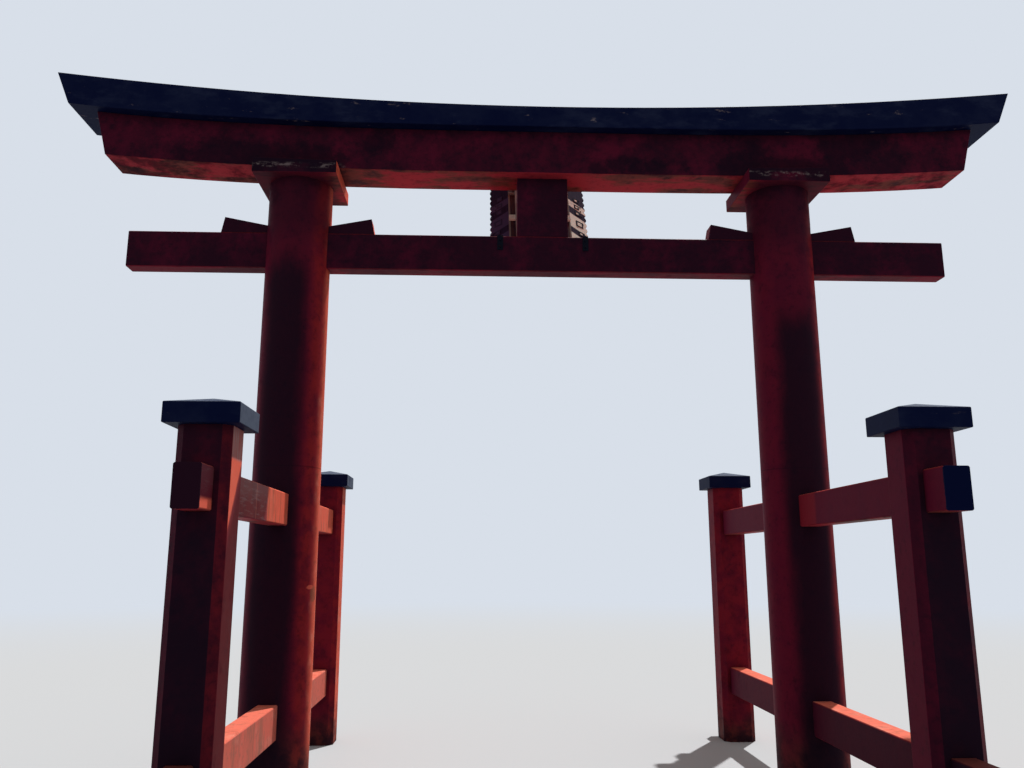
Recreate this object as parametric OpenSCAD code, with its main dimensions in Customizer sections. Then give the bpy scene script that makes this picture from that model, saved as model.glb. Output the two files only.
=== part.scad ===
// Torii gate of the kind with four sleeve posts, standing on six feet.
// X runs along the beams, Y runs through the gate towards the plaque's face, Z is up.
// The origin is on the ground, midway between the two pillars. All sizes are in millimetres.

/* [Pillars] */
// Distance between the pillars, centre to centre
pillar_spacing = 4200; // [3700:10:4800]
// Diameter of a pillar at its foot
pillar_foot_d = 550; // [480:5:620]
// Diameter of a pillar at its top
pillar_top_d = 536; // [470:2:600]
// Height of a pillar, from the ground to its capital
pillar_h = 4945; // [4200:5:5700]

/* [Capitals] */
// Width of the square capital slab
capital_w = 700; // [640:10:800]
// Thickness of the capital slab over the middle of the pillar
capital_h = 120; // [80:5:180]

/* [Lower lintel] */
// Length of the lower lintel along its underside
lintel_l = 7470; // [6600:10:8000]
// Height of the lower lintel
lintel_h = 385; // [300:5:450]
// Depth of the lower lintel, front to back
lintel_d = 380; // [300:5:460]
// How far the top edge of the lower lintel reaches past its underside at each end
lintel_slant = 100; // [40:5:160]
// How far the lower lintel's ends rise above its middle
lintel_rise = 100; // [40:5:150]
// Power of the upward sweep, where 2 is an even bow and more keeps the middle straight
sweep_power = 3.3; // [2:0.1:4]

/* [Top beam] */
// Length of the top beam along its underside
top_beam_l = 8080; // [7700:10:8700]
// Depth of the top beam, front to back
top_beam_d = 575; // [480:5:680]
// Height of the top beam's front face at mid length
top_beam_h = 190; // [150:5:260]
// How far the tips of its top edge rise above the middle
top_beam_rise = 224; // [180:2:300]
// How far the top edge reaches past the underside at each end
top_beam_slant = 115; // [60:5:180]
// Height of the ridge above the top edges
ridge_h = 70; // [30:5:110]

/* [Tie beam] */
// Length of the tie beam
tie_beam_l = 7040; // [6400:10:7600]
// Height of the tie beam
tie_beam_h = 315; // [240:5:380]
// Depth of the tie beam, front to back
tie_beam_d = 162; // [130:2:200]
// Distance from the pillars' tops down to the tie beam's top
tie_beam_drop = 435; // [330:5:500]

/* [Wedges] */
// How far a wedge stands out from the pillar, along its foot
wedge_reach = 382; // [300:2:440]
// Height of a wedge where it enters the pillar
wedge_face_h = 70; // [55:1:90]
// Slope of a wedge's top, in degrees
wedge_angle = 11; // [6:0.5:13]
// How deep a wedge goes into the pillar
wedge_depth = 180; // [100:5:200]

/* [Centre strut] */
// Width of the centre strut
strut_w = 440; // [340:5:520]

/* [Sleeve posts] */
// Distance from a pillar's centre to the centre of each of its sleeve posts
post_offset = 2068; // [1500:2:2400]
// Width of a sleeve post across its flats
post_w = 316; // [270:2:360]
// Width cut off each corner of a sleeve post
post_chamfer = 50; // [20:1:70]
// Height of a sleeve post, from the ground to its cap
post_h = 2520; // [2000:5:3000]

/* [Post caps] */
// Width of a post cap
cap_w = 436; // [400:2:500]
// Height of a post cap's upright sides
cap_h = 120; // [80:2:160]
// Height of the pyramid on a post cap
cap_peak_h = 55; // [20:1:90]

/* [Post ties] */
// Thickness of the ties between posts and pillar
tie_w = 152; // [120:2:180]
// Height of an upper tie
upper_tie_h = 248; // [200:2:300]
// Distance from the sleeve posts' tops down to the upper ties' tops
upper_tie_drop = 240; // [120:2:480]
// Height of a lower tie
lower_tie_h = 256; // [200:2:300]
// Height of a lower tie's underside above the ground
lower_tie_z = 456; // [300:2:700]
// Length of the noses that stand out past the sleeve posts
nose_l = 222; // [150:2:300]
// Width of the cut along the long edges of ties and tie beam
arris = 8; // [4:1:14]

/* [Plaque] */
// Width of the plaque's board
board_w = 560; // [520:5:600]
// Height of the plaque's board
board_h = 840; // [700:5:880]
// Thickness of the plaque's board
board_t = 30; // [20:1:36]
// Width of the flared boards that frame the plaque
flare_w = 197; // [160:1:210]
// Thickness of the flared boards
flare_t = 22; // [16:1:28]
// Angle of the flared boards to the plaque's board, in degrees
flare_angle = 30; // [20:1:38]
// Lean of the plaque towards the viewer, in degrees
plaque_lean = 30; // [22:1:34]
// Room between the tie beam and the plaque's lower edge
plaque_room = 40; // [34:1:60]
// How far the foot of the plaque's board lies below the tie beam's top
plaque_drop = 10; // [0:1:40]
// Spacing wanted between the lobes on the frame's outer edge
lobe_pitch = 80; // [60:1:110]

/* [Plaque backing] */
// Height of a crosspiece on the back of the plaque
crosspiece_h = 60; // [40:1:80]
// Thickness of a crosspiece
crosspiece_t = 25; // [18:1:32]
// Height of the lower crosspiece above the board's lower edge
lower_crosspiece_v = 316; // [240:2:360]
// Distance from the board's upper edge down to the upper crosspiece
upper_crosspiece_drop = 80; // [30:5:180]
// Width of an upright stile
stile_w = 22; // [16:1:40]
// Thickness of an upright stile
stile_t = 25; // [18:1:32]
// Distance from the board's side edge to the middle of each stile
stile_inset = 70; // [30:1:90]
// Room between the foot of a stile and the face of the centre strut
stile_room = 5; // [2:1:20]

/* [Ironwork] */
// Room between a strap's lip and the mitred corner of the frame
strap_room = 12; // [8:1:40]
// Width of a strap
strap_w = 50; // [36:1:60]
// Thickness of a strap
strap_t = 6; // [4:0.5:10]
// How far a strap hangs down the near face of the tie beam
strap_drop = 126; // [80:2:180]
// Height of the lip that holds the plaque in a strap
strap_lip = 45; // [25:1:60]
// Diameter of the rods that hold the top of the plaque
stay_d = 16; // [12:1:24]
// Distance from the plaque's middle to each rod
stay_x = 150; // [100:5:180]
// Width of the square plate at the foot of a rod
stay_plate_w = 80; // [60:2:100]
// Thickness of that plate
stay_plate_t = 8; // [5:0.5:12]

/* [Fit] */
// Clearance between pieces that seat on or pass through each other
joint_gap = 0.3; // [0.1:0.1:0.8]

/* [Hidden] */

$fn = 96;

left = -1;
right = 1;
front = -1;
rear = 1;

// Turn about Z that makes a shape drawn towards +X run the given way
function turn(way) = way > 0 ? 0 : 180;

vermilion = [0.72, 0.16, 0.08];
black_paint = [0.07, 0.07, 0.08];
plaque_brown = [0.30, 0.17, 0.13];
plaque_cream = [0.80, 0.74, 0.62];
iron_black = [0.09, 0.10, 0.12];

// Distance between the bends of the swept beams
station_step = 300;

pillar_x = pillar_spacing / 2;
lintel_z = pillar_h + capital_h - sweep(pillar_x);
tie_beam_top = pillar_h - tie_beam_drop;
upper_tie_z = post_h - upper_tie_drop - upper_tie_h;
wedge_face_x = pillar_r(tie_beam_top);
wedge_inner_x = wedge_face_x - wedge_depth;
beam_seat_d = tie_beam_d - 2 * arris;
tie_l = 2 * (post_offset + post_w / 2 + nose_l);
plaque_y = tie_beam_d / 2 + plaque_room;
plaque_foot_z = tie_beam_top - plaque_drop;
flare_run = flare_w * cos(flare_angle);
flare_inner = flare_t / tan(flare_angle) + 1;

// Backs of the plaque's board, crosspieces and stiles, measured from the board's face
board_back = board_t;
crosspiece_back = board_back + joint_gap + crosspiece_t;
stile_back = crosspiece_back + joint_gap + stile_t;

// Places of the stiles and straps across the plaque, and the foot of the stiles up the board
stile_x = board_w / 2 - stile_inset;
strap_x = board_w / 2 + flare_run - strap_lip - strap_room - strap_w / 2;
strut_room = plaque_room + arris;
stile_foot_v = max(board_t, (stile_back * cos(plaque_lean) + stile_room - strut_room) / sin(plaque_lean));

// Tilt of the lower flared board from upright, and the place of its outer edge
lower_tilt = flare_angle - plaque_lean;
lower_edge_y = plaque_y + flare_w * sin(lower_tilt);
lower_edge_z = plaque_foot_z - flare_w * cos(lower_tilt);

// Height of the upper crosspiece up the board, and where the rods meet it
upper_crosspiece_v = board_h - upper_crosspiece_drop - crosspiece_h;
stay_v = upper_crosspiece_v + crosspiece_h / 2;
stay_z = plaque_foot_z + stay_v * cos(plaque_lean) + crosspiece_back * sin(plaque_lean);
stay_end_y = plaque_y + stay_v * sin(plaque_lean) - crosspiece_back * cos(plaque_lean) + stay_d;

// Radius of a pillar at a height above the ground
function pillar_r(z) = (pillar_foot_d + (pillar_top_d - pillar_foot_d) * z / pillar_h) / 2;

// Rise of the swept beams at a distance from the middle, straight between stations
function sweep_curve(x) = lintel_rise * pow(x / (lintel_l / 2), sweep_power);
function sweep(x) =
    let (a = floor(abs(x) / station_step) * station_step, t = (abs(x) - a) / station_step)
    (1 - t) * sweep_curve(a) + t * sweep_curve(a + station_step);

// Places from a to b at which a swept edge has a point
function stations(a, b) = concat(
    [a],
    [for (i = [floor(a / station_step) + 1 : ceil(b / station_step) - 1]) i * station_step],
    [b]
);

function reversed(list) = [for (i = [len(list) - 1 : -1 : 0]) list[i]];

// Rectangle with its corners cut, wider by g on every side
function cut_rectangle(w, h, c, g = 0) =
    let (a = w / 2 + g, b = h / 2 + g)
    [[a - c, -b], [a, -b + c], [a, b - c], [a - c, b], [c - a, b], [-a, b - c], [-a, c - b], [c - a, -b]];

// Extrudes an XZ outline along Y, with the middle at y = 0
module along_y(length) {
    rotate([90, 0, 0]) linear_extrude(height = length, center = true) children();
}

// Extrudes a YZ outline along X, with the middle at x = 0
module along_x(length) {
    rotate([90, 0, 90]) linear_extrude(height = length, center = true) children();
}

// Tie beam, with g more on each side for the holes it passes through
module tie_beam_solid(g = 0) {
    translate([0, 0, tie_beam_top - tie_beam_h / 2])
        along_x(tie_beam_l) polygon(cut_rectangle(tie_beam_d, tie_beam_h, arris, g));
}

// Tie between posts and pillar on one side
module tie_solid(side, z, h, g = 0) {
    translate([side * pillar_x, 0, z + h / 2]) along_y(tie_l) polygon(cut_rectangle(tie_w, h, arris, g));
}

module tie_holes(side) {
    tie_solid(side, upper_tie_z, upper_tie_h, joint_gap);
    tie_solid(side, lower_tie_z, lower_tie_h, joint_gap);
}

// Height of the wedge's sloping top above the tie beam, x measured from the pillar's centre
function wedge_top(x) = wedge_face_h + tan(wedge_angle) * (x - wedge_face_x);

function wedge_outline() =
    let (
        foot_x = wedge_face_x + wedge_reach,
        end_l = wedge_top(foot_x) * cos(wedge_angle)
    )
    [
        [wedge_inner_x, 0], [foot_x, 0],
        [foot_x - end_l * sin(wedge_angle), end_l * cos(wedge_angle)],
        [wedge_inner_x, wedge_top(wedge_inner_x)]
    ];

function wedge_hole_outline() =
    let (a = wedge_inner_x - joint_gap, b = wedge_face_x + wedge_reach, lift = 2 * joint_gap)
    [[a, -arris], [b, -arris], [b, wedge_top(b) + lift], [a, wedge_top(a) + lift]];

module wedge(side, way) {
    color(vermilion) translate([side * pillar_x, 0, tie_beam_top + joint_gap])
        rotate([0, 0, turn(way)]) along_y(beam_seat_d) polygon(wedge_outline());
}

module pillar(side) {
    color(vermilion) difference() {
        translate([side * pillar_x, 0, 0]) cylinder(h = pillar_h, d1 = pillar_foot_d, d2 = pillar_top_d);
        tie_beam_solid(joint_gap);
        for (way = [left, right])
            translate([side * pillar_x, 0, tie_beam_top]) rotate([0, 0, turn(way)])
                along_y(beam_seat_d + 2 * joint_gap) polygon(wedge_hole_outline());
        tie_holes(side);
    }
}

// Block from x0 to x1 that reaches from height z up to the underside of the lower lintel
module block_under_lintel(x0, x1, z, d) {
    xs = stations(x0, x1);
    top = [for (x = reversed(xs)) [x, lintel_z + sweep(x) - joint_gap]];
    along_y(d) polygon(concat([[x0, z], [x1, z]], top));
}

module capital(side) {
    color(vermilion) block_under_lintel(
        side * pillar_x - capital_w / 2, side * pillar_x + capital_w / 2, pillar_h + joint_gap, capital_w
    );
}

module centre_strut() {
    color(vermilion) block_under_lintel(-strut_w / 2, strut_w / 2, tie_beam_top + joint_gap, beam_seat_d);
}

module lower_lintel() {
    a = lintel_l / 2;
    b = a + lintel_slant;
    under = [for (x = stations(-a, a)) [x, lintel_z + sweep(x)]];
    over = [for (x = reversed(stations(-b, b))) [x, lintel_z + lintel_h + sweep(x)]];
    color(vermilion) along_y(lintel_d) polygon(concat(under, over));
}

// Height of the top beam's underside and of its top edge
function top_beam_under(x) = lintel_z + lintel_h + joint_gap + sweep(x);
function top_beam_over(x) =
    top_beam_under(0) + top_beam_h + top_beam_rise * pow(x / (top_beam_l / 2 + top_beam_slant), 2);

// Five corners of the top beam at one station: underside, top edges and ridge
function top_beam_section(xu, xo, xr) =
    let (y = top_beam_d / 2)
    [
        [xu, -y, top_beam_under(xu)], [xu, y, top_beam_under(xu)], [xo, y, top_beam_over(xo)],
        [xr, 0, top_beam_over(xo) + ridge_h], [xo, -y, top_beam_over(xo)]
    ];

module top_beam() {
    a = top_beam_l / 2;
    b = a + top_beam_slant;
    ridge_x = b + top_beam_slant * ridge_h / (top_beam_over(b) - top_beam_under(a));
    inner = [for (x = stations(-a, a)) if (abs(x) < a) top_beam_section(x, x, x)];
    sections = concat([top_beam_section(-a, -b, -ridge_x)], inner, [top_beam_section(a, b, ridge_x)]);
    last = 5 * (len(sections) - 1);
    sides = [
        for (i = [0 : len(sections) - 2]) for (k = [0 : 4])
            let (p = 5 * i + k, q = 5 * i + (k + 1) % 5)
            each [[p, p + 5, q + 5], [p, q + 5, q]]
    ];
    color(black_paint) polyhedron(
        points = [for (s = sections) each s],
        faces = concat([[0, 1, 2, 3, 4]], sides, [[for (k = [4 : -1 : 0]) last + k]])
    );
}

module tie_beam() {
    color(vermilion) tie_beam_solid();
}

module post(side, end) {
    color(vermilion) difference() {
        translate([side * pillar_x, end * post_offset, 0])
            linear_extrude(height = post_h) polygon(cut_rectangle(post_w, post_w, post_chamfer));
        tie_holes(side);
    }
}

function cap_outline() = [
    [-cap_w / 2, 0], [cap_w / 2, 0], [cap_w / 2, cap_h], [0, cap_h + cap_peak_h], [-cap_w / 2, cap_h]
];

module post_cap(side, end) {
    color(black_paint) translate([side * pillar_x, end * post_offset, post_h + joint_gap]) intersection() {
        along_y(cap_w) polygon(cap_outline());
        along_x(cap_w) polygon(cap_outline());
    }
}

module upper_tie(side) {
    color(vermilion) tie_solid(side, upper_tie_z, upper_tie_h);
}

module lower_tie(side) {
    color(vermilion) tie_solid(side, lower_tie_z, lower_tie_h);
}

// Puts children drawn on the plaque, x across, y forwards and z up it, into their leaning place
module on_plaque() {
    translate([0, plaque_y, plaque_foot_z]) rotate([-plaque_lean, 0, 0]) children();
}

module plaque_board() {
    color(plaque_brown) on_plaque()
        translate([-board_w / 2, -board_back, 0]) cube([board_w, board_t, board_h]);
}

// Flared board with lobes on its outer edge, drawn flat: x along it, y outwards, z through it
module lobed_board(run) {
    outer = run + 2 * flare_run;
    count = round(outer / lobe_pitch);
    pitch = outer / count;
    lobe_r = 0.55 * pitch;
    translate([-outer / 2, -flare_inner, 0]) cube([outer, flare_w - lobe_r + flare_inner, flare_t]);
    for (i = [0 : count - 1])
        translate([pitch * (i + 0.5) - outer / 2, flare_w - lobe_r, 0])
            cylinder(h = flare_t, r = lobe_r, $fn = 32);
}

// Flat seats for the straps on the outer edge of the lower flared board
module strap_seats() {
    seat_w = strap_w + 2 * flare_t;
    for (side = [left, right])
        translate([side * strap_x - seat_w / 2, flare_w / 2, 0]) cube([seat_w, flare_w / 2, flare_t]);
}

// Flared board for an edge of the given length, mitred at both ends, flared up out of the XY plane
module frame_board(run) {
    inner = flare_t / sin(flare_angle);
    half = run / 2 - joint_gap;
    color(plaque_cream) intersection() {
        rotate([flare_angle, 0, 0]) {
            lobed_board(run);
            children();
        }
        translate([0, 0, joint_gap]) linear_extrude(height = flare_w) polygon([
            [-half - flare_w, flare_w], [inner - half, -inner],
            [half - inner, -inner], [half + flare_w, flare_w]
        ]);
    }
}

// Puts a frame board on the edge that lies the given way round from the lower one
module on_edge(way_round, distance) {
    on_plaque() translate([0, 0, board_h / 2]) rotate([0, way_round, 0])
        translate([0, 0, -distance]) rotate([-90, 0, 0]) children();
}

module plaque_frame_bottom() {
    on_edge(0, board_h / 2) frame_board(board_w) strap_seats();
}

module plaque_frame_top() {
    on_edge(180, board_h / 2) frame_board(board_w);
}

module plaque_frame_side(side) {
    on_edge(-90 * side, board_w / 2) frame_board(board_h);
}

module plaque_crosspiece(v) {
    color(plaque_cream) on_plaque()
        translate([-board_w / 2, -crosspiece_back, v]) cube([board_w, crosspiece_t, crosspiece_h]);
}

module plaque_stile(side) {
    color(plaque_cream) on_plaque()
        translate([side * stile_x - stile_w / 2, -stile_back, stile_foot_v])
            cube([stile_w, stile_t, board_h - board_t - stile_foot_v]);
}

// Rod with a foot plate, from the far face of the lower lintel to the upper crosspiece
module plaque_stay(side) {
    color(iron_black) difference() {
        translate([side * stay_x, lintel_d / 2 + joint_gap, stay_z]) {
            translate([-stay_plate_w / 2, 0, -stay_plate_w / 2])
                cube([stay_plate_w, stay_plate_t, stay_plate_w]);
            rotate([-90, 0, 0]) cylinder(h = stay_end_y - lintel_d / 2, d = stay_d);
        }
        on_plaque() translate([-board_w / 2, -crosspiece_back - joint_gap, 0])
            cube([board_w, board_w, board_h]);
    }
}

// Strap that hooks over the tie beam and holds the plaque's lower edge in a lip
function strap_outline() =
    let (
        inner = tie_beam_d / 2 + joint_gap,
        outer = inner + strap_t,
        low = tie_beam_top - strap_drop,
        under = tie_beam_top + joint_gap,
        over = under + strap_t,
        seat = lower_edge_z + min(0, flare_t * sin(lower_tilt)) - joint_gap,
        lip = lower_edge_y + flare_t * cos(lower_tilt) + max(0, -strap_lip * tan(lower_tilt)) + joint_gap
    )
    [
        [-outer, low], [-outer, over], [outer, over], [outer, seat], [lip, seat], [lip, seat + strap_lip],
        [lip + strap_t, seat + strap_lip], [lip + strap_t, seat - strap_t], [inner, seat - strap_t],
        [inner, under], [-inner, under], [-inner, low]
    ];

module strap(side) {
    color(iron_black) translate([side * strap_x, 0, 0]) along_x(strap_w) polygon(strap_outline());
}

pillar(left);  // pillar_left
pillar(right);  // pillar_right
capital(left);  // capital_left
capital(right);  // capital_right
lower_lintel();
top_beam();
tie_beam();
centre_strut();
wedge(left, left);  // wedge_left_outer
wedge(left, right);  // wedge_left_inner
wedge(right, left);  // wedge_right_inner
wedge(right, right);  // wedge_right_outer
post(left, front);  // post_front_left
post(right, front);  // post_front_right
post(left, rear);  // post_rear_left
post(right, rear);  // post_rear_right
post_cap(left, front);  // post_cap_front_left
post_cap(right, front);  // post_cap_front_right
post_cap(left, rear);  // post_cap_rear_left
post_cap(right, rear);  // post_cap_rear_right
upper_tie(left);  // upper_tie_left
upper_tie(right);  // upper_tie_right
lower_tie(left);  // lower_tie_left
lower_tie(right);  // lower_tie_right
plaque_board();
plaque_frame_side(left);  // plaque_frame_left
plaque_frame_side(right);  // plaque_frame_right
plaque_frame_top();
plaque_frame_bottom();
plaque_crosspiece(upper_crosspiece_v);  // plaque_crosspiece_upper
plaque_crosspiece(lower_crosspiece_v);  // plaque_crosspiece_lower
plaque_stile(left);  // plaque_stile_left
plaque_stile(right);  // plaque_stile_right
plaque_stay(left);  // plaque_stay_left
plaque_stay(right);  // plaque_stay_right
strap(left);  // strap_left
strap(right);  // strap_right
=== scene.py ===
"""Torii gate: paint, weathering, plaque ornament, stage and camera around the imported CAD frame."""

import math

import bmesh
import bpy
from mathutils import Matrix, Vector


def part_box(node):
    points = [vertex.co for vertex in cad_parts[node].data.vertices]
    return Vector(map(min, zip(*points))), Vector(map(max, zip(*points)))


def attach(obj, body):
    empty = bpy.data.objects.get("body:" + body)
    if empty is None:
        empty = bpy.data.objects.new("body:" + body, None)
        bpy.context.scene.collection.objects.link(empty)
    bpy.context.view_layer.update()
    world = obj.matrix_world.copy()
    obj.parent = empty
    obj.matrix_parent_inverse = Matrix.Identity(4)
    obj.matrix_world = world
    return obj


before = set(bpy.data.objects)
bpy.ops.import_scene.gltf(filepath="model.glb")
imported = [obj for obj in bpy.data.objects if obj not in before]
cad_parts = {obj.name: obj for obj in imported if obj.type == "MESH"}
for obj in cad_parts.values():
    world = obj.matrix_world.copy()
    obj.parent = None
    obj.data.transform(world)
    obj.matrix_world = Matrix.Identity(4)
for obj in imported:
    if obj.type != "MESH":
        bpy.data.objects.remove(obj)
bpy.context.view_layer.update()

bl_info = {
    "name": "Torii gate",
    "version": (1, 0, 0),
    "blender": (4, 5, 0),
    "location": "View3D > Sidebar > Torii",
    "description": "Paint, weathering, plaque ornament and stage for the torii gate's packed frame",
    "category": "Object",
}

SIDES = {"left": -1, "right": 1}

# Places on the gate in metres, read from the frame
PILLAR_X = sum(corner[0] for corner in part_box("pillar_right")) / 2
LINTEL_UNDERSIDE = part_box("lower_lintel")[0][2]
SWEEP = 0.0131  # how far the lintel and the top beam rise at a distance of 1 m from the middle
TIE_BEAM_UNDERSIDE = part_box("tie_beam")[0][2]
TIE_BEAM_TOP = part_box("tie_beam")[1][2]
POST_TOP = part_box("post_front_left")[1][2]
TIE_END_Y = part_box("upper_tie_left")[1][1]
STRAP_X = sum(corner[0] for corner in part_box("strap_right")) / 2
STRAP_FACE_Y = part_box("strap_right")[0][1]
STRAP_FOOT = TIE_BEAM_TOP - 0.126
STAY_X = sum(corner[0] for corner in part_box("plaque_stay_right")) / 2
STAY_Z = sum(corner[2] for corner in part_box("plaque_stay_right")) / 2
STAY_FACE_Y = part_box("plaque_stay_right")[0][1] + 0.008

# The plaque's board and flared frame, as the CAD has them
BOARD_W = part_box("plaque_board")[1][0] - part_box("plaque_board")[0][0]
BOARD_H = 0.84
BOARD_T = 0.03
PLAQUE_LEAN = math.radians(30)
PLAQUE_FOOT_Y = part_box("plaque_board")[0][1] + BOARD_T * math.cos(PLAQUE_LEAN)
PLAQUE_FOOT = (0.0, PLAQUE_FOOT_Y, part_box("plaque_board")[0][2])
FLARE_ANGLE = math.radians(30)
FLARE_T = 0.022

# Edges of the bands on a side board and on a level board, as shares of its length
SIDE_BANDS = (0.137, 0.262, 0.365, 0.6, 0.731, 0.842)
LEVEL_BANDS = (0.06, 0.22, 0.38, 0.62, 0.78, 0.94)

# How the red pieces have weathered and are shaded: how far the sides away from the sun are darkened as
# painted shade, how much of the front is black with mould, partly painted shade, how strong mould's patches
# and the rain's runs are, and how high the foot is stained
WEATHERING_AND_SHADE = {
    "pillar": (0.85, 0.4, 0.6, 0.15, 0.6),
    "capital": (0.95, 0.9, 0.9, 0.5, 0.0),
    "lintel": (0.95, 0.75, 0.8, 0.25, 0.0),
    "tie_beam": (1.0, 0.85, 0.8, 0.35, 0.0),
    "wedge": (1.0, 1.1, 0.9, 0.3, 0.0),
    "strut": (1.0, 0.95, 0.6, 0.5, 0.0),
    "front_post": (0.9, 0.9, 0.6, 0.5, 0.5),
    "rear_post": (0.55, 0.42, 0.6, 0.4, 0.35),
    "upper_tie_left": (0.8, 0.6, 0.4, 0.7, 0.0),
    "upper_tie_right": (0.8, 0.6, 0.4, 0.2, 0.0),
    "lower_tie_left": (0.8, 0.6, 0.4, 0.8, 0.0),
    "lower_tie_right": (0.8, 0.6, 0.4, 0.2, 0.0),
}

GAP = 0.0002  # between an added piece's foot and the face it sits on

# How a mesh is finished: the gap to join, the bend that counts as flat, and those to shade over and to round
WELD_GAP = 0.00002
FLAT_BEND = math.radians(0.3)
SMOOTH_BEND = math.radians(25)
ROUNDED_BEND = math.radians(30)


def srgb(red, green, blue):
    """Linear colour of a screen colour given from 0 to 255."""
    return tuple(
        value / 12.92 if value <= 0.04045 else ((value + 0.055) / 1.055) ** 2.4
        for value in (red / 255, green / 255, blue / 255)
    )


class Wire:
    """An output in a node tree. Arithmetic on it adds the nodes that work it out."""

    def __init__(self, nodes, socket):
        self.nodes = nodes
        self.socket = socket

    def part(self, name):
        """Another output of the same node."""
        return Wire(self.nodes, find_socket(self.socket.node.outputs, name))

    def __add__(self, other):
        return self.nodes.combine("ADD", self, other)

    def __radd__(self, other):
        return self.nodes.combine("ADD", other, self)

    def __sub__(self, other):
        return self.nodes.combine("SUBTRACT", self, other)

    def __rsub__(self, other):
        return self.nodes.combine("SUBTRACT", other, self)

    def __mul__(self, other):
        return self.nodes.combine("MULTIPLY", self, other)

    def __rmul__(self, other):
        return self.nodes.combine("MULTIPLY", other, self)

    def __abs__(self):
        return self.nodes.combine("ABSOLUTE", self)


def find_socket(sockets, key):
    """A socket by its place, its identifier or its name."""
    if isinstance(key, int):
        return sockets[key]
    return next((socket for socket in sockets if socket.identifier == key), None) or sockets[key]


def rgba(value):
    """A colour with its alpha, or a wire as it is."""
    return value if isinstance(value, Wire) else (*value, 1.0)


def triple(value):
    """A number as a vector of three, or anything else as it is."""
    return (value, value, value) if isinstance(value, (int, float)) else value


class Nodes:
    """A node tree in the making."""

    def __init__(self, tree):
        self.tree = tree
        tree.nodes.clear()

    def node(self, kind, settings=None, values=None, output=0):
        """Adds a node: its settings first, then the values or links of its sockets."""
        made = self.tree.nodes.new(kind)
        for name, value in (settings or {}).items():
            if name == "stops":
                set_stops(made.color_ramp, value)
            else:
                setattr(made, name, value)
        for key, value in (values or {}).items():
            socket = find_socket(made.inputs, key)
            if isinstance(value, Wire):
                self.tree.links.new(value.socket, socket)
            else:
                socket.default_value = value
        return Wire(self, find_socket(made.outputs, output)) if made.outputs else None

    def combine(self, operation, first, second=0.0):
        """Works out an expression with the node that suits what it joins."""
        kinds = {wire.socket.type for wire in (first, second) if isinstance(wire, Wire)}
        if "RGBA" in kinds:
            settings = {"data_type": "RGBA", "blend_type": operation}
            values = {"Factor_Float": 1.0, "A_Color": rgba(first), "B_Color": rgba(second)}
            return self.node("ShaderNodeMix", settings, values, "Result_Color")
        if "VECTOR" in kinds:
            values = {0: triple(first), 1: triple(second)}
            return self.node("ShaderNodeVectorMath", {"operation": operation}, values)
        return self.node("ShaderNodeMath", {"operation": operation}, {0: first, 1: second})

    def split(self, vector):
        """The three parts of a vector."""
        across = self.node("ShaderNodeSeparateXYZ", values={"Vector": vector}, output="X")
        return across, across.part("Y"), across.part("Z")

    def between(self, value, low, high):
        """0 at low and 1 at high, with a soft step from one to the other."""
        values = {"Value": value, "From Min": low, "From Max": high}
        return self.node("ShaderNodeMapRange", {"interpolation_type": "SMOOTHSTEP"}, values)

    def blend(self, mask, under, over):
        """One colour over another where the mask is 1."""
        values = {"Factor_Float": mask, "A_Color": rgba(under), "B_Color": rgba(over)}
        return self.node("ShaderNodeMix", {"data_type": "RGBA"}, values, "Result_Color")

    def seen(self):
        """1 for rays from the camera, from gloss and through glass, 0 for rays that light a surface."""
        camera = self.node("ShaderNodeLightPath", output="Is Camera Ray")
        glossy = self.combine("MAXIMUM", camera, camera.part("Is Glossy Ray"))
        return self.combine("MAXIMUM", glossy, camera.part("Is Transmission Ray"))


def set_stops(ramp, stops):
    """Puts the given (place, colour) stops on a colour ramp."""
    while len(ramp.elements) < len(stops):
        ramp.elements.new(1.0)
    for element, (place, colour_at) in zip(ramp.elements, stops):
        element.position = place
        element.color = (*colour_at, 1.0)


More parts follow.
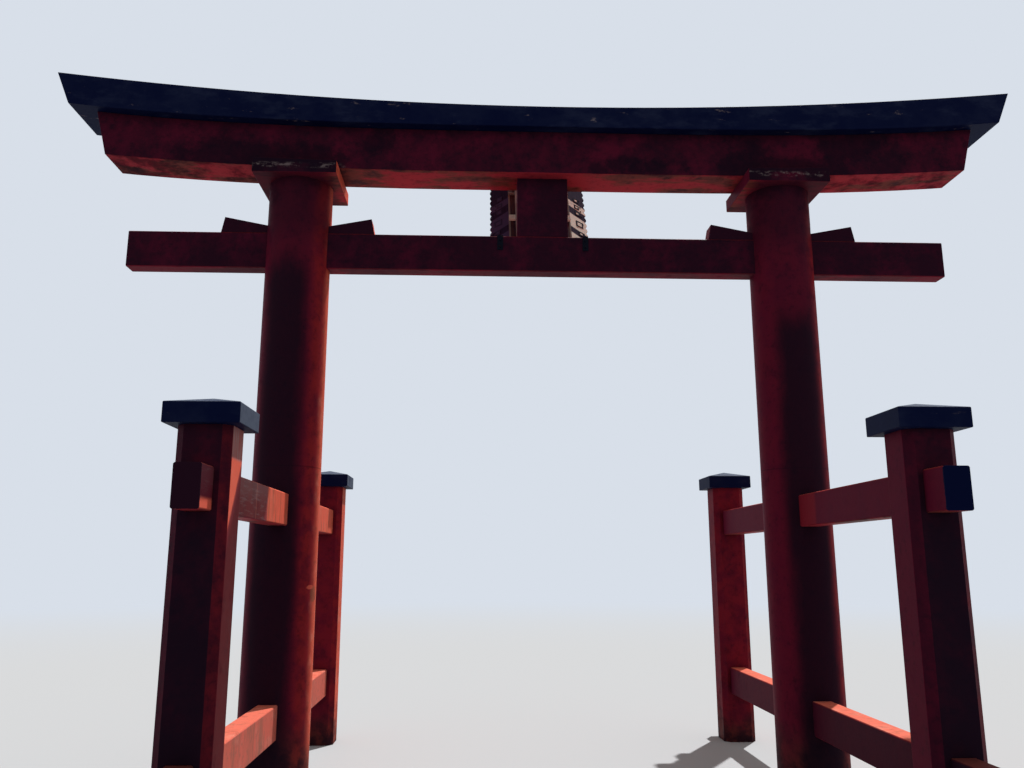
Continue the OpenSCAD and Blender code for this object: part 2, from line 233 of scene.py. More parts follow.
class Finish(Nodes):
    """A procedural material in the making, with the surface's place and facing ready for use."""

    def __init__(self, name):
        self.material = bpy.data.materials.new(name)
        self.material.use_nodes = True
        super().__init__(self.material.node_tree)
        self.place = self.node("ShaderNodeTexCoord", output="Object")
        self.x, self.y, self.z = self.split(self.place)
        self.to_right, self.to_rear, self.to_sky = self.split(self.place.part("Normal"))
        self.upright = self.between(abs(self.to_sky), 0.6, 0.3)
        self.under = self.between(self.to_sky, -0.5, -0.85)
        self.colours = bpy.context.scene.torii_colours
        self.wear = bpy.context.scene.torii_wear
        self.paint = None

    def over(self, mask, coat):
        """Lays a colour over the paint where the mask is 1."""
        self.paint = self.blend(mask, self.paint, coat)

    def clouds(self, size, detail, roughness=0.55, stretch=(1, 1, 1), shift=0.0, place=None):
        """Cloudy pattern around 0.5, with lumps of a size in metres that may be drawn out along the axes."""
        spot = (place or self.place) * tuple(1 / (size * s) for s in stretch) + (shift, shift, shift)
        values = {"Vector": spot, "Scale": 1.0, "Detail": detail, "Roughness": roughness}
        return self.node("ShaderNodeTexNoise", values=values)

    def distance(self, offset):
        """Length of a vector."""
        return self.node("ShaderNodeVectorMath", {"operation": "LENGTH"}, {0: offset}, "Value")

    def away(self, place, reach):
        """Distance from a place, as a share of the reach along each axis."""
        return self.distance((self.place - place) * tuple(1 / r for r in reach))

    def on_right(self):
        """1 on the gate's right half, 0 on its left half."""
        return self.between(self.x, -1.0, 1.0)

    def up_lintel(self):
        """Height above the lintel's swept underside."""
        return self.z - self.x * self.x * SWEEP - LINTEL_UNDERSIDE

    def sunward(self):
        """High on faces toward the sun, at the rear, on top and on the right, below 0 on others; it places
        sun-fading as well as painted sunlight and shade.
        """
        return self.to_right * 0.54 + self.to_rear * 0.84 + self.to_sky * 0.8

    def worn_edge(self, radius):
        """1 along outward and inward edges, within about a radius in metres."""
        rounded = self.node("ShaderNodeBevel", {"samples": 6}, {"Radius": radius})
        flat = self.node("ShaderNodeNewGeometry", output="Normal")
        settings = {"operation": "DOT_PRODUCT"}
        alike = self.node("ShaderNodeVectorMath", settings, {0: rounded, 1: flat}, "Value")
        return self.between(alike, 0.995, 0.86)

    def corner(self, distance):
        """1 deep in a corner between pieces, 0 in the open."""
        open_share = self.node("ShaderNodeAmbientOcclusion", {"samples": 6}, {"Distance": distance}, "AO")
        return self.between(open_share, 0.85, 0.35)

    def close(self, roughness, height, specular):
        """Ends the material with its shader. The height of the relief is in metres."""
        normal = self.node("ShaderNodeBump", values={"Strength": 1.0, "Distance": 1.0, "Height": height})
        values = {"Base Color": self.paint, "Roughness": roughness, "Normal": normal}
        values["Specular IOR Level"] = specular
        shader = self.node("ShaderNodeBsdfPrincipled", values=values)
        self.node("ShaderNodeOutputMaterial", values={"Surface": shader})
        return self.material


def vector(name, description, default, **kind):
    """A property of three numbers."""
    return bpy.props.FloatVectorProperty(name=name, description=description, size=3, default=default, **kind)


def colour(name, description, red, green, blue):
    """A colour property whose default is a screen colour."""
    return vector(name, description, srgb(red, green, blue), subtype="COLOR", min=0.0, max=1.0)


def number(name, description, default, **kind):
    """A property of one number."""
    return bpy.props.FloatProperty(name=name, description=description, default=default, **kind)


def share(name, description, default):
    """A property from none at 0 to full at 1."""
    return number(name, description, default, subtype="FACTOR", min=0.0, max=1.0)


def length(name, description, default):
    """A length in metres."""
    return number(name, description, default, subtype="DISTANCE", unit="LENGTH", min=0.0)


def angle(name, description, degrees):
    """An angle."""
    return number(name, description, math.radians(degrees), subtype="ANGLE")


class TORII_PG_colours(bpy.types.PropertyGroup):
    """Colours of the gate's paints, wood, iron and dirt, some of them also laid as painted light and shade.
    """

    red: colour("Vermilion", "Paint away from the sun", 158, 42, 48)
    # Aged paint, also laid as painted shade on sides away from the sun, on shaded undersides and in painted
    # shadows
    red_dark_and_shade: colour("Aged vermilion", "Darkest patches of aged paint", 98, 24, 50)
    # Laid on faces toward the sun: sun-faded paint, and painted sunlight there
    red_faded_sunlit: colour("Faded vermilion", "Paint faded by the sun", 238, 104, 80)
    salmon: colour("Salmon", "Palest patches of faded paint", 240, 146, 124)
    # Bright paint of a chip, and painted sunlight on the lit patches of the posts and the left upper tie
    red_fresh_and_sunlit: colour("Fresh vermilion", "Paint that stayed bright", 255, 116, 92)
    # Painted light: this brighter red on undersides stands in for light thrown up from below
    red_lit_underside: colour("Underside vermilion", "Paint on undersides, kept from the rain", 186, 56, 66)
    # Black mould, also laid as painted shade in corners, under capitals and on shaded sides, and as the
    # pillars' painted dark reflection
    mould_and_shade: colour("Mould", "Black mould on the paint", 30, 20, 34)
    drip: colour("Drips", "Dirt drawn down the faded sides by rain", 118, 92, 66)
    olive: colour("Olive mottle", "Mottled growth on undersides and feet", 98, 64, 50)
    lime: colour("Lime", "Pale specks of droppings and lime", 178, 160, 158)
    black: colour("Black paint", "Black paint of the top beam and the caps", 9, 18, 54)
    black_worn: colour("Worn black paint", "Scuffed black paint", 56, 64, 92)
    # Painted sheen on black paint toward the sun, partly real fading; also the worn edges
    black_faded_sheen: colour("Faded black paint", "Black paint greyed by the sun", 98, 106, 122)
    cream: colour("Cream paint", "Pale bands and rails of the plaque", 242, 232, 218)
    band: colour("Dark bands", "Dark bands of the plaque's frame", 46, 31, 56)
    # Painted shade on the pale bands of the plaque's left board
    band_shaded: colour("Worn bands", "Pale bands dulled by dirt in the shade", 74, 58, 90)
    wood: colour("Stained wood", "Dark stained wood of the plaque's board", 78, 48, 46)
    iron: colour("Iron", "Black iron of the straps and stays", 12, 15, 28)
    rust: colour("Rust", "Rust that shows through the iron's paint", 104, 58, 36)


class TORII_PG_wear(bpy.types.PropertyGroup):
    """How much each kind of wear shows."""

    # Also scales the painted shade and the painted dark reflection laid in mould colour
    mould_and_shade: share("Mould", "How strongly black mould covers the paint", 0.9)
    streaks: share("Streaks", "How strongly rain has streaked the sides", 0.7)
    lime: share("Lime", "How many pale specks lie on the ledges", 0.4)
    scuffs: share("Scuffs", "How much the black paint is scuffed", 0.7)
    edges: share("Edges", "How much the edges are worn", 0.45)
    relief: share("Relief", "Height of the paint's fine relief", 0.5)


class TORII_PG_details(bpy.types.PropertyGroup):
    """Sizes of softened edges and small pieces."""

    edge: length("Soft edge", "Radius of the posts' and the beams' soft edges", 0.006)
    fine_edge: length("Fine soft edge", "Radius of the plaque's and the ironwork's soft edges", 0.0015)
    ring_w: length("Ring width", "Outer width of a square ring on the plaque's frame", 0.057)
    ring_rim: length("Ring rim", "Width of a ring's dark rim", 0.0145)
    ring_t: length("Ring thickness", "How far a ring stands out from its board", 0.004)
    stud_w: length("Stud width", "Width of a dark stud on the frame's outer edge", 0.02)
    bolt_w: length("Bolt width", "Width of a bolt's head across its corners", 0.018)
    bolt_t: length("Bolt height", "Height of a bolt's head", 0.009)


class TORII_PG_stage(bpy.types.PropertyGroup):
    """Camera, lamps and floor."""

    camera: vector(
        "Camera", "Place of the camera", (-0.5566, -7.1171, 1.7564), subtype="TRANSLATION", unit="LENGTH"
    )
    pitch: angle("Pitch", "How far the camera looks up", 11.6414)
    yaw: angle("Yaw", "How far the camera looks to the right", 2.36)
    lens: number("Lens", "Focal length in millimetres", 30.354)
    towards_sun: vector(
        "Towards the sun", "Direction to the key light", (0.277, 0.430, 0.859), subtype="DIRECTION"
    )
    sun: number("Sun", "Strength of the key light", 3.3)
    softness: angle("Softness", "Angle across the key light", 1.2)
    fill: number("Fill", "Strength of the even light from all round", 0.31)
    backdrop: colour("Backdrop", "Colour of the backdrop", 216, 223, 233)
    floor: colour("Floor", "Colour of the floor", 200, 201, 202)
    bounce: colour("Bounce", "Colour of the light that the floor throws back up", 134, 136, 142)


def red_paint(name, zone=None, lime=None, extra=None):
    """Vermilion on concrete, weathered as the table says, with painted sunlight toward the sun, painted shade
    away from it and painted bounce light on undersides.

    zone adds mould where it says, in places also painted shade, and lime pale specks. extra paints over the
    result, in places with painted light and shade.
    """
    shade, front_mould_and_shade, mould_and_shade, streaks, foot = WEATHERING_AND_SHADE[name]
    f = Finish(f"{name}_paint")
    colours, wear = f.colours, f.wear
    broad = f.clouds(1.1, 3)
    soft = f.clouds(0.38, 4, 0.5, stretch=(1, 1, 1.7), shift=6.6)
    mottle = f.clouds(0.16, 7, 0.62, shift=3.1)
    fine = f.clouds(0.05, 6, 0.68, shift=9.3)
    grain = f.clouds(0.02, 3, shift=7.7)

    # Paint faded on faces toward the sun, which also serves as painted sunlight there; tops are paler as
    # painted sunlight
    faded_and_sunlit = f.between(f.sunward() + (broad - 0.5) * 0.3 + (mottle - 0.5) * 0.35, 0.1, 0.5)
    f.paint = f.blend(f.between(mottle, 0.4, 0.66) * 0.6, colours.red, colours.red_dark_and_shade)
    bleached_and_top_lit = f.between(mottle, 0.5, 0.72) * 0.55 + f.between(f.to_sky, 0.6, 0.9) * 0.35
    faded_sunlit_paint = f.blend(bleached_and_top_lit, colours.red_faded_sunlit, colours.salmon)
    f.over(faded_and_sunlit, faded_sunlit_paint)

    # Painted shade: faces away from the sun are darkened by the table's shade share
    shaded = f.between(f.sunward() + (soft - 0.5) * 0.3, -0.05, -0.5)
    f.over(shaded * shade, colours.red_dark_and_shade)
    # Black mould on the front, partly painted shade
    front = f.between(f.to_rear + (soft - 0.5) * 0.3, -0.3, -0.9)
    patches = f.between(soft * 0.45 + mottle * 0.35 + fine * 0.2, 0.7 - 0.5 * front_mould_and_shade, 1.0 - 0.5 * front_mould_and_shade)
    f.over(front * patches * (0.9 * wear.mould_and_shade), colours.mould_and_shade)

    # Painted light: undersides brightened as by light thrown up from below
    f.over(f.under * 0.9, colours.red_lit_underside)
    swirls = f.clouds(0.3, 8, 0.66, stretch=(2.2, 0.8, 1), shift=5.3)
    f.over(f.under * f.between(swirls, 0.45, 0.56) * 0.75, colours.olive)
    f.over(f.under * f.between(swirls * 0.6 + mottle * 0.4, 0.51, 0.62) * 0.7, colours.mould_and_shade)

    runs = f.clouds(0.1, 5, 0.62, stretch=(1, 1, 9), shift=1.9)
    patchy = f.between(broad * 0.3 + soft * 0.7, 0.4, 0.56)
    streak = f.upright * patchy * f.between(runs, 0.42, 0.66) * (faded_and_sunlit * 0.8 + 0.2) * (streaks * wear.streaks)
    dirt = f.blend(faded_and_sunlit, colours.mould_and_shade, colours.drip)
    f.over(streak, dirt)
    f.over(f.between(fine, 0.5, 0.7) * 0.35, dirt)

    level = f.clouds(0.17, 8, 0.66, shift=4.4)
    if zone:
        level = level + zone(f)
    growth = f.between(level, 0.55, 0.8) * (mould_and_shade * wear.mould_and_shade)
    f.over(growth, colours.mould_and_shade)
    # Painted shade: mould colour laid deep in corners between pieces
    f.over(f.corner(0.2) * 0.4, colours.mould_and_shade)

    if foot:
        stain = f.between(f.z + (soft - 0.5) * 0.6, foot, foot * 0.25)
        f.over(stain * 0.5, colours.olive)
        f.over(stain * f.between(mottle, 0.42, 0.6) * 0.75, colours.mould_and_shade)

    worn = f.worn_edge(0.007) * f.between(mottle, 0.42, 0.62) * wear.edges
    f.over(worn, f.blend(faded_and_sunlit, colours.red, colours.salmon))
    if lime:
        pale = f.between(f.clouds(0.03, 6, 0.7, stretch=(2, 1, 1), shift=0.4), 0.5, 0.64)
        f.over(pale * lime(f) * wear.lime, colours.lime)
    if extra:
        extra(f)

    roughness = 0.5 + faded_and_sunlit * 0.1 + growth * 0.3 + (grain - 0.5) * 0.16
    height = (grain * 0.0008 + mottle * 0.003 + runs * 0.0004) * wear.relief
    return f.close(roughness, height, specular=0.02)


def black_finish(name, wear_above=None, scuffs=1.0):
    """Weathered black paint, greyed toward the sun as a painted sheen, partly real fading, and scuffed where
    wear_above says.
    """
    f = Finish(name)
    colours, wear = f.colours, f.wear
    broad = f.clouds(0.9, 3, shift=8.2)
    mottle = f.clouds(0.24, 7, 0.62)
    grain = f.clouds(0.02, 3, shift=5.1)
    level = f.clouds(0.14, 7, 0.66, stretch=(1.9, 1, 0.8), shift=2.7) + (broad - 0.5) * 0.3
    if wear_above:
        level = level + wear_above(f)
    scuffed = f.between(level, 0.5, 0.74) * (scuffs * wear.scuffs)
    f.paint = f.blend(f.between(mottle, 0.4, 0.7) * 0.15, colours.black, colours.black_worn)
    f.over(scuffed * 0.5, colours.black_worn)
    # Painted sheen toward the sun, partly real fading
    faded_and_sunlit = f.between(f.sunward() + (mottle - 0.5) * 0.5, 0.15, 0.55)
    f.over(faded_and_sunlit * f.between(mottle, 0.2, 0.55) * 0.8, colours.black_faded_sheen)
    bare = f.between(f.clouds(0.09, 7, 0.7, stretch=(2.4, 1, 0.8), shift=1.3), 0.63, 0.7)
    f.over(bare * (0.4 * scuffs), colours.lime)
    worn = f.worn_edge(0.007) * f.between(level, 0.4, 0.62) * wear.edges
    f.over(worn, colours.black_faded_sheen)
    roughness = 0.5 + scuffed * 0.2 + faded_and_sunlit * 0.14 + (mottle - 0.5) * 0.24
    height = (grain * 0.0008 + mottle * 0.003 - scuffed * 0.0005) * wear.relief
    return f.close(roughness, height, specular=0.03)


def wood_finish(name, paint_on, along, rough=0.6):
    """Wood with its grain along one axis of the plaque, painted by its place, grain and stains."""
    f = Finish(name)
    turned = f.node(
        "ShaderNodeVectorRotate",
        {"rotation_type": "X_AXIS"},
        {"Vector": f.place, "Center": PLAQUE_FOOT, "Angle": PLAQUE_LEAN},
    )
    place = turned - PLAQUE_FOOT
    stretch = {"x": (14, 1, 1), "z": (1, 1, 14)}[along]
    grain = f.clouds(0.012, 5, 0.6, stretch=stretch, place=place)
    stain = f.clouds(0.12, 5, 0.6, shift=2.2, place=place)
    paint_on(f, place, grain, stain)
    height = (grain * 0.002 + stain * 0.001) * f.wear.relief
    return f.close(rough + (grain - 0.5) * 0.3, height, specular=0.02)


def cream_wood(name, along, dirt):
    """Weathered cream paint on the plaque's rails, dulled by a share of dirt."""

    def paint_on(f, _, grain, stain):
        f.paint = f.blend(f.between(grain, 0.5, 0.68) * 0.3, f.colours.cream, f.colours.wood)
        f.over(dirt, f.colours.band)
        f.over(f.between(stain, 0.52, 0.7) * 0.25, f.colours.band)

    return wood_finish(name, paint_on, along)


def brown_wood(name, pale_edge):
    """Dark stained wood of the plaque's board and upper crosspiece, with pale edges where pale_edge says."""

    def paint_on(f, place, grain, stain):
        f.paint = f.blend(f.between(grain, 0.4, 0.64) * 0.7, f.colours.wood, f.colours.band)
        f.over(f.between(stain, 0.5, 0.7) * 0.5, f.colours.mould_and_shade)
        f.over(pale_edge(f, place) * 0.2, f.colours.cream)

    return wood_finish(name, paint_on, "z", 0.5)


def shaded_back(f):
    """1 on the back of the plaque's left board, where shade is painted."""
    return f.between(f.to_right, 0.1, -0.2) * f.between(f.to_rear, 0.1, -0.1)


def banded_wood(name, along):
    """Flared board painted in pale and dark bands across its length."""

    def paint_on(f, place, grain, stain):
        across, _, up = f.split(place)
        if along == "z":
            outwards = abs(across) - BOARD_W / 2
            share_along, edges = (up + outwards * 0.3) * (1 / BOARD_H), SIDE_BANDS
        else:
            share_along, edges = across * (1 / BOARD_W) + 0.5, LEVEL_BANDS
        ragged = (stain - 0.5) * 0.012
        before, after = (0, 0, 0), (1, 1, 1)
        stops = [(0.0, before)]
        for edge in edges:
            stops += [(edge - 0.006, before), (edge + 0.006, after)]
            before, after = after, before
        bands = f.node("ShaderNodeValToRGB", {"stops": stops}, {"Fac": share_along + ragged}, "Color")
        is_pale, _, _ = f.split(bands)
        cream = f.blend(f.between(grain, 0.5, 0.7) * 0.15, f.colours.cream, f.colours.wood)
        # Painted shade: the pale bands on the back of the left board are darkened
        cream = f.blend(shaded_back(f), cream, f.colours.band_shaded)
        cream = f.blend(f.between(f.sunward(), 0.7, 1.0) * 0.45, cream, f.colours.wood)
        deep = f.blend(f.between(grain, 0.45, 0.65) * 0.4, f.colours.band, f.colours.mould_and_shade)
        f.paint = f.blend(is_pale, deep, cream)
        f.over(f.between(stain, 0.54, 0.72) * 0.25, f.colours.band)

    return wood_finish(name, paint_on, along, 0.8)


def ring_paint(name, pale):
    """Paint of the rings on the plaque's frame: their dark rims, or their pale centres."""
    f = Finish(name)
    colours = f.colours
    mottle = f.clouds(0.03, 5)
    main, stain = (colours.cream, colours.wood) if pale else (colours.mould_and_shade, colours.band)
    f.paint = f.blend(f.between(mottle, 0.45, 0.68) * 0.5, main, stain)
    # Painted shade on the back of the left board's rings
    f.over(shaded_back(f) * (1.0 if pale else 0.6), colours.band_shaded)
    return f.close(0.7 + (mottle - 0.5) * 0.2, mottle * 0.0006, specular=0.02)


def iron_finish():
    """Black painted iron with a little rust."""
    f = Finish("iron_paint")
    colours, wear = f.colours, f.wear
    mottle = f.clouds(0.04, 7, 0.65)
    grain = f.clouds(0.006, 3, shift=4.1)
    rusty = f.between(mottle + f.worn_edge(0.003) * 0.08, 0.58, 0.72)
    f.paint = f.blend(rusty * 0.5, colours.iron, colours.rust)
    height = (grain * 0.0006 + mottle * 0.001) * wear.relief
    return f.close(0.5 + rusty * 0.35, height, specular=0.05)


def shading_group():
    """Geometry nodes that shade a mesh smooth up to an angle, or the ones that are there already."""
    group = bpy.data.node_groups.get("shade_by_angle")
    if group:
        return group
    group = bpy.data.node_groups.new("shade_by_angle", "GeometryNodeTree")
    group.interface.new_socket("Geometry", in_out="INPUT", socket_type="NodeSocketGeometry")
    group.interface.new_socket("Geometry", in_out="OUTPUT", socket_type="NodeSocketGeometry")
    nodes = Nodes(group)
    plain = nodes.node("NodeGroupInput")
    fold = nodes.node("GeometryNodeInputMeshEdgeAngle", output="Unsigned Angle")
    limits = {"A": fold, "B": SMOOTH_BEND}
    sharp = nodes.node("FunctionNodeCompare", {"operation": "GREATER_THAN"}, limits)
    inputs = {"Mesh": plain, "Edge Sharpness": sharp}
    shaded = nodes.node("GeometryNodeSetMeshNormal", {"mode": "SHARPNESS"}, inputs)
    nodes.node("NodeGroupOutput", values={0: shaded})
    return group


def soften(piece, radius):
    """Joins a mesh's split corners, shades it by angle and rounds its edges."""
    weld = piece.modifiers.new("weld", "WELD")
    weld.merge_threshold = WELD_GAP
    flat = piece.modifiers.new("flat_faces", "DECIMATE")
    flat.decimate_type = "DISSOLVE"
    flat.angle_limit = FLAT_BEND
    shade = piece.modifiers.new("shade", "NODES")
    shade.node_group = shading_group()
    if radius:
        bevel = piece.modifiers.new("soft_edges", "BEVEL")
        bevel.width = radius
        bevel.segments = 3
        bevel.limit_method = "ANGLE"
        bevel.angle_limit = ROUNDED_BEND
        bevel.harden_normals = True


def dress(names, finish, radius):
    """Gives CAD nodes their finish and soft edges."""
    for name in names:
        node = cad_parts[name]
        for slot in node.material_slots:
            slot.material = finish
        soften(node, radius)


def add_piece(name, finish, slot, fill, *places):
    """Makes a piece by a function that fills a mesh at some places, and lets it ride on the gate."""
    mesh = bpy.data.meshes.new(name)
    made = bmesh.new()
    fill(made, *places)
    bmesh.ops.recalc_face_normals(made, faces=made.faces)
    made.to_mesh(mesh)
    made.free()
    piece = bpy.data.objects.new(name, mesh)
    bpy.context.scene.collection.objects.link(piece)
    mesh.materials.append(finish)
    soften(piece, 0.0)
    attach(piece, "root")


def polygon(sides, radius):
    """Corners of a regular polygon, with a side square to the x axis."""
    turns = [(2 * i + 1) * math.pi / sides for i in range(sides)]
    return [(radius * math.cos(turn), radius * math.sin(turn)) for turn in turns]


def add_walls(mesh, matrix, loops):
    """Joins loops, each a list of (x, y) points and a height, one to the next, and returns their corners."""
    rings = [[mesh.verts.new(matrix @ Vector((x, y, height))) for x, y in points] for points, height in loops]
    for low, high in zip(rings, rings[1:]):
        for i in range(len(low)):
            j = (i + 1) % len(low)
            mesh.faces.new((low[i], low[j], high[j], high[i]))
    return rings


def add_rim(mesh, matrix, width, rim, height):
    """A square rim with a sloping outer face."""
    half, hole = width / math.sqrt(2), (width - 2 * rim) / math.sqrt(2)
    loops = [
        (polygon(4, hole), 0.0),
        (polygon(4, half), 0.0),
        (polygon(4, half * 0.85 + hole * 0.15), height),
        (polygon(4, hole), height),
    ]
    rings = add_walls(mesh, matrix, loops)
    for i in range(4):
        j = (i + 1) % 4
        mesh.faces.new((rings[3][i], rings[3][j], rings[0][j], rings[0][i]))


def add_stud(mesh, matrix, width, height, sides=6):
    """A bolt's head or a stud: a prism with a chamfered top."""
    loops = [
        (polygon(sides, width / 2), 0.0),
        (polygon(sides, width / 2), height * 0.7),
        (polygon(sides, width * 0.4), height),
    ]
    rings = add_walls(mesh, matrix, loops)
    mesh.faces.new(rings[-1])
    mesh.faces.new(list(reversed(rings[0])))


def flare_matrix(way_round, distance):
    """From the flat drawing of a flared board to its place: x along it, y outwards, z through it."""
    return (
        Matrix.Translation(PLAQUE_FOOT)
        @ Matrix.Rotation(-PLAQUE_LEAN, 4, "X")
        @ Matrix.Translation((0, 0, BOARD_H / 2))
        @ Matrix.Rotation(way_round, 4, "Y")
        @ Matrix.Translation((0, 0, -distance))
        @ Matrix.Rotation(FLARE_ANGLE - math.pi / 2, 4, "X")
    )


class GateStep:
    """What the gate's operators share."""

    bl_options = {"REGISTER", "UNDO"}


class TORII_OT_pillars(GateStep, bpy.types.Operator):
    """Finish the two round pillars"""

    bl_idname = "torii.pillars"
    bl_label = "Pillars"

    # Height of the faint joint round the pillars, and the chip and the rubbed spot on the left one
    JOINT_Z = 2.5
    CHIP = (-1.852, -0.11, 1.562)
    CHIP_REACH = (0.04, 0.06, 0.02)
    RUB = (-1.836, -0.06, 1.51)
    RUB_REACH = (0.05, 0.06, 0.07)
    # Heights between which painted shade darkens the front below the capital, and between which mould
    # thickens on both and on the right one
    SHADED_BELOW_CAPITAL = (4.25, 4.6)
    MOULDY = (4.6, 4.95)
    MOULDY_RIGHT = (3.6, 4.3)

    def execute(self, context):
        colours, wear = context.scene.torii_colours, context.scene.torii_wear

        # Painted reflection: the fronts' dark core, in mould colour, stands in for dark surroundings seen in
        # the gloss
        def painted_dark_reflection(f):
            wander = f.clouds(0.3, 7, 0.66, stretch=(1, 1, 3), shift=2.2) - 0.5
            facing = f.to_right * (f.on_right() * 0.17 - 0.14) - f.to_rear * 0.99 + wander * 0.3
            start = TIE_BEAM_UNDERSIDE - f.on_right() * 0.4
            down = f.between(f.z + wander * 0.6, start + 0.15, start - 0.2)
            reflection = f.between(facing, 0.64, 0.92) * (down * 0.8 + 0.2)
            f.over(reflection * wear.mould_and_shade, colours.mould_and_shade)

        def near_top(f):
            on_right = f.on_right() * f.between(f.z, *self.MOULDY_RIGHT)
            return f.between(f.z, *self.MOULDY) * 0.15 + on_right * 0.06

        def marks(f):
            painted_dark_reflection(f)
            # Painted shade below the capital on the front
            shade_under_capital = f.between(f.z, *self.SHADED_BELOW_CAPITAL) * f.between(f.to_rear, 0.3, -0.3)
            f.over(shade_under_capital * 0.5, colours.mould_and_shade)
            joint = f.between(abs(f.z - self.JOINT_Z), 0.007, 0.002) * 0.35
            f.over(joint, colours.mould_and_shade)
            ragged = (f.clouds(0.03, 5, 0.7, shift=6.1) - 0.5) * 0.9
            chipped = (self.CHIP, self.CHIP_REACH, 0.6, colours.red_fresh_and_sunlit)
            rubbed = (self.RUB, self.RUB_REACH, 0.5, colours.drip)
            for place, reach, strength, coat in (chipped, rubbed):
                f.over(f.between(f.away(place, reach) + ragged, 1.0, 0.7) * strength, coat)

        dress(["pillar_left", "pillar_right"], red_paint("pillar", zone=near_top, extra=marks), 0.0)
        return {"FINISHED"}


class TORII_OT_capitals(GateStep, bpy.types.Operator):
    """Finish the square capital slabs"""

    bl_idname = "torii.capitals"
    bl_label = "Capitals"

    def execute(self, context):
        # Mould on the fronts, most at the ends and under the lintel, partly painted shade
        def ends_and_edges(f):
            front = f.between(f.to_rear, -0.2, -0.6)
            ends = f.between(abs(abs(f.x) - PILLAR_X), 0.1, 0.24)
            top = f.between(f.z, LINTEL_UNDERSIDE - 0.04, LINTEL_UNDERSIDE - 0.01)
            return front * (ends * 0.16 + top * 0.2 + 0.12)

        def near_top(f):
            low = f.between(f.z, LINTEL_UNDERSIDE - 0.075, LINTEL_UNDERSIDE - 0.05)
            high = f.between(f.z, LINTEL_UNDERSIDE - 0.01, LINTEL_UNDERSIDE - 0.03)
            return low * high * f.between(f.to_rear, -0.2, -0.6)

        # Painted shade: the underside darkened back from the painted bounce light
        def shaded_underside(f):
            painted_shade = f.under * f.between(PILLAR_X - abs(f.x), 0.34, 0.2)
            f.over(painted_shade * 0.7, f.colours.red_dark_and_shade)
            f.over(painted_shade * 0.35, f.colours.mould_and_shade)

        finish = red_paint("capital", zone=ends_and_edges, lime=near_top, extra=shaded_underside)
        dress(["capital_left", "capital_right"], finish, context.scene.torii_details.edge)
        return {"FINISHED"}


class TORII_OT_lower_lintel(GateStep, bpy.types.Operator):
    """Finish the lower lintel"""

    bl_idname = "torii.lower_lintel"
    bl_label = "Lower lintel"

    # Mould on the lintel's front: place along it and above its underside, and reach each way
    BLOTS = (
        (-2.72, 0.1, 0.715, 0.338), (-2.1, 0.1, 0.806, 0.221), (-1.42, 0.24, 0.286, 0.208),
        (1.78, 0.1, 0.39, 0.26), (2.25, 0.06, 0.65, 0.156), (2.7, 0.28, 0.455, 0.182),
        (0.75, 0.08, 0.65, 0.156),
    )

    def execute(self, context):
        def mould_and_top_shade(f):
            front = f.between(f.to_rear, -0.3, -0.8)
            up = f.up_lintel()
            total = f.between(up, 0.3, 0.0) * 0.03 + f.between(f.x, 0.5, 2.2) * 0.07
            # Painted shade along the top, under the top beam's overhang
            total += f.between(up, 0.24, 0.38) * 0.12
            for x, z, reach_x, reach_z in self.BLOTS:
                away = f.away((x, 0, LINTEL_UNDERSIDE + z), (reach_x, math.inf, reach_z))
                total += f.between(away, 1.0, 0.15) * 0.3
            left_end = f.under * f.between(f.x, -1.6, -3.4)
            right_end = f.under * f.between(f.x, 1.2, 2.4)
            return total * front + left_end * 0.18 + right_end * 0.12

        def above_capitals(f):
            beside = f.between(abs(abs(f.x) - PILLAR_X), 0.46, 0.3)
            low = f.between(f.z, LINTEL_UNDERSIDE + 0.07, LINTEL_UNDERSIDE)
            return beside * low * f.between(f.to_rear, -0.4, -0.8)

        finish = red_paint("lintel", zone=mould_and_top_shade, lime=above_capitals)
        dress(["lower_lintel"], finish, context.scene.torii_details.edge)
        return {"FINISHED"}


class TORII_OT_top_beam(GateStep, bpy.types.Operator):
    """Finish the black top beam"""

    bl_idname = "torii.top_beam"
    bl_label = "Top beam"

    def execute(self, context):
        finish = black_finish("top_beam_paint", lambda f: f.between(f.up_lintel(), 0.43, 0.57) * 0.07)
        dress(["top_beam"], finish, context.scene.torii_details.edge)
        return {"FINISHED"}


class TORII_OT_tie_beam(GateStep, bpy.types.Operator):
    """Finish the tie beam, its wedges and the centre strut"""

    bl_idname = "torii.tie_beam"
    bl_label = "Tie beam"

    def execute(self, context):
        def along_top(f):
            return f.between(f.z, TIE_BEAM_TOP - 0.09, TIE_BEAM_TOP) * 0.07

        # Painted shade: the underside darkened back from the painted bounce light
        def shaded_underside(f):
            f.over(f.under * 0.65, f.colours.red_dark_and_shade)

        edge = context.scene.torii_details.edge / 2
        wedges = [f"wedge_{side}_{place}" for side in SIDES for place in ("outer", "inner")]
        dress(["tie_beam"], red_paint("tie_beam", zone=along_top, extra=shaded_underside), edge)
        dress(wedges, red_paint("wedge"), edge)
        dress(["centre_strut"], red_paint("strut"), edge)
        return {"FINISHED"}


